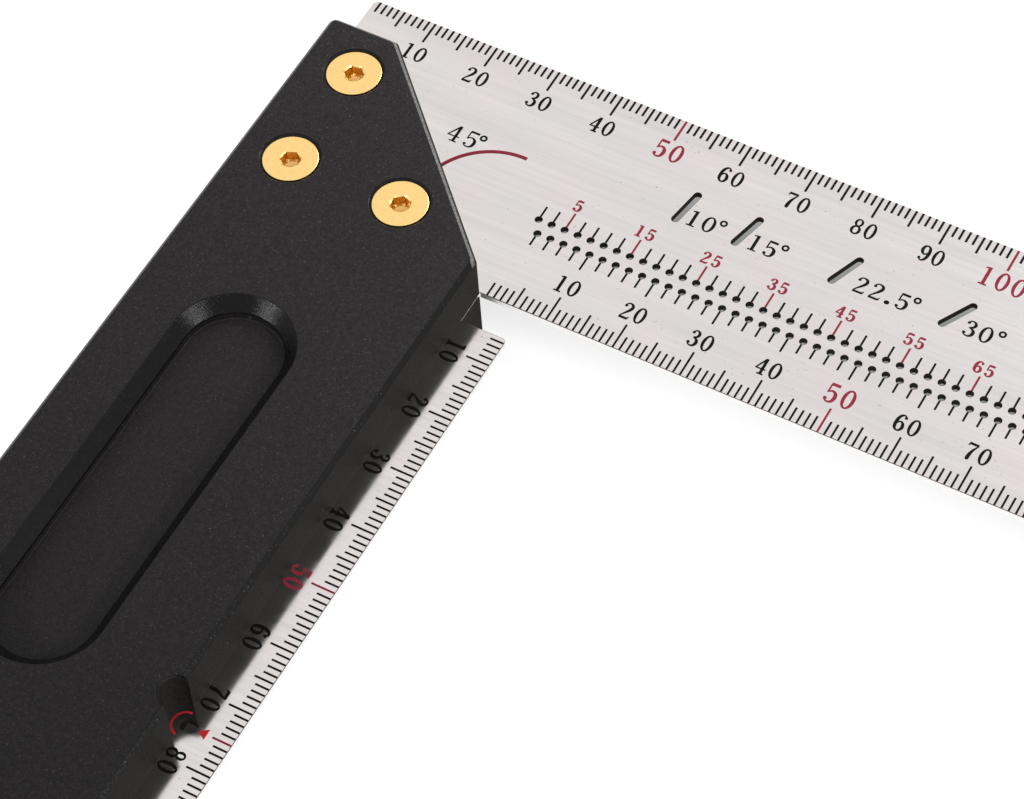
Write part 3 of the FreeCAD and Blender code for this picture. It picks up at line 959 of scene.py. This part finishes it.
def floor():
    """A wide level sheet just under the handle: white with a faint shadow beside the square, partly real
    and partly painted shade, a painted shadow of grey well under its blade, and open to a view from below."""
    reach = 4.0
    clearance = 0.02
    height = (BACK_LOW[2] - clearance) * MM
    mesh = bpy.data.meshes.new("floor")
    mesh.from_pydata([(-reach, -reach, height), (reach, -reach, height), (reach, reach, height),
                      (-reach, reach, height)], [], [(0, 1, 2, 3)])
    made = bpy.data.materials.new("floor_white")
    made.use_nodes = True
    tree = made.node_tree
    shader = tree.nodes["Principled BSDF"]
    shader.inputs["Base Color"].default_value = (0.2, 0.2, 0.2, 1)
    shader.inputs["Roughness"].default_value = 1.0
    shader.inputs["Specular IOR Level"].default_value = 0.0
    shader.inputs["Emission Color"].default_value = (1, 1, 1, 1)
    # Painted shade: the floor's glow is dimmed where ambient occlusion finds the square close by.
    open_sky = add(tree, "ShaderNodeAmbientOcclusion", {"samples": 8}, Distance=0.03)
    faint = spread(tree, open_sky.outputs["AO"], 0.74, 0.9, 0.08, 0.3)
    place = tree.nodes.new("ShaderNodeTexCoord").outputs["Object"]
    at = add(tree, "ShaderNodeSeparateXYZ", Vector=place).outputs
    # Painted shadow: over a rectangle under the blade the glow drops to 0.27, a grey standing in for the
    # blade's shadow.
    painted_shadow_mask = product(tree, spread(tree, at["Y"], 0.0, 1.0, 8 * MM, 13 * MM),
                      spread(tree, at["Y"], 1.0, 0.0, 35 * MM, 38 * MM))
    painted_shadow_mask = product(tree, painted_shadow_mask, spread(tree, at["X"], 0.0, 1.0, -16 * MM, -8 * MM))
    painted_shadow_mask = product(tree, painted_shadow_mask, spread(tree, at["X"], 1.0, 0.0, 150 * MM, 158 * MM))
    glow = product(tree, faint, spread(tree, painted_shadow_mask, 1.0, 0.27))
    tree.links.new(product(tree, white_to_the_eye(tree), glow), shader.inputs["Emission Strength"])
    back = tree.nodes.new("ShaderNodeNewGeometry").outputs["Backfacing"]
    clear = tree.nodes.new("ShaderNodeBsdfTransparent")
    mix = add(tree, "ShaderNodeMixShader", _0=back, _1=shader.outputs[0], _2=clear.outputs[0])
    tree.links.new(mix.outputs[0], tree.nodes["Material Output"].inputs["Surface"])
    mesh.materials.append(made)
    sheet = bpy.data.objects.new("floor", mesh)
    bpy.context.scene.collection.objects.link(sheet)


def softbox(name, place, aim, size, power):
    """A rectangular lamp at the place, facing the aim, all in metres and watts."""
    lamp = bpy.data.lights.new(name, "AREA")
    lamp.shape = "RECTANGLE"
    lamp.size, lamp.size_y = size
    lamp.energy = power
    stand = bpy.data.objects.new(name, lamp)
    stand.location = place
    stand.rotation_euler = (Vector(aim) - Vector(place)).to_track_quat("-Z", "Y").to_euler()
    bpy.context.scene.collection.objects.link(stand)


def camera(place, aim, roll, lens):
    """A camera at the place, looking at the aim, turned by the roll about its line of sight."""
    eye = bpy.data.cameras.new("camera")
    eye.lens = lens
    eye.sensor_width = 36.0
    eye.clip_start = 0.01
    stand = bpy.data.objects.new("camera", eye)
    look = (Vector(aim) - Vector(place)).to_track_quat("-Z", "Y").to_matrix().to_4x4()
    stand.matrix_world = Matrix.Translation(Vector(place) * MM) @ look @ Matrix.Rotation(roll, 4, "Z")
    bpy.context.scene.collection.objects.link(stand)
    bpy.context.scene.camera = stand


# The square

scene = bpy.context.scene
scene.view_settings.view_transform = "Standard"

STEEL = [steel(), cut_steel(), sheared_steel()]
ANODISING = [blasted_black(), matt_black(), glossy_black(), worn_black()]
GOLD = [gold(), socket_gold()]
PIN_STEEL = pin_steel()
BLACK_PAINT = paint("black_paint", (0.002, 0.002, 0.002), (0.007, 0.0065, 0.0065))
RED_PAINT = paint("red_paint", (0.235, 0.02, 0.038), (0.305, 0.032, 0.056))
BRIGHT_RED_PAINT = paint("bright_red_paint", (0.5, 0.02, 0.022), (0.62, 0.03, 0.03))

plate_wall = rounded_edge(PLATE_EDGE, PLATE_BASE, PLATE_TOP, EDGE)
piece("ruled_plate", slab(plate_outline(), plate_wall, plate_openings(), RULED), STEEL,
      ["blade_plate"])
piece("front_handle_cheek", front_cheek(), ANODISING, ["front_cheek"])
piece("back_handle_cheek", back_cheek(), ANODISING, ["back_cheek"])
SOCKET_TURNS = (12, 25, 40, 5, 50)
for number, (node, turn) in enumerate(zip(HEAD_SCREWS + HEEL_SCREWS, SOCKET_TURNS), 1):
    piece("gold_screw_%d" % number, screw(node, turn), GOLD, [node])
for node in PINS:
    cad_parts[node].data.materials.clear()
    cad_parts[node].data.materials.append(PIN_STEEL)

x0, x1, y0, y1, red = rulings()
piece("black_rulings", [bars(x0[~red], x1[~red], y0[~red], y1[~red])], [BLACK_PAINT])
piece("red_rulings", [bars(x0[red], x1[red], y0[red], y1[red])], [RED_PAINT])
black, red = scale_numbers()
piece("black_scale_numbers", black, [BLACK_PAINT])
piece("red_scale_numbers", red, [RED_PAINT])
piece("black_angle_numbers", angle_numbers(), [BLACK_PAINT])
piece("red_mitre_arc", ring(MITRE_CENTRE, MITRE_RADIUS, 0.58, MITRE_START, MITRE_END), [RED_PAINT])
piece("red_pivot_ring", ring(PIVOT, 1.76, 0.3, 90, 258), [BRIGHT_RED_PAINT])
piece("red_pivot_pointer", painted([np.array([(2.15, -75.05), (3.4, -75.8), (3.4, -74.2)])]),
      [BRIGHT_RED_PAINT])

studio_world()
floor()
softbox("right_softbox", (0.52, -0.065, 0.354), (0, -0.03, 0), (0.15, 0.08), 1.5)
softbox("near_softbox", (-0.38, -0.51, 0.254), (0, -0.03, 0), (0.15, 0.08), 1.5)
softbox("head_softbox", (0.08, 0.26, 0.2), (-0.02, 0, 0), (0.12, 0.12), 0.5)
camera((159.552, -242.987, 380.795), (12.315, -13.427, 1.0), math.radians(-4.5567), 125.599)
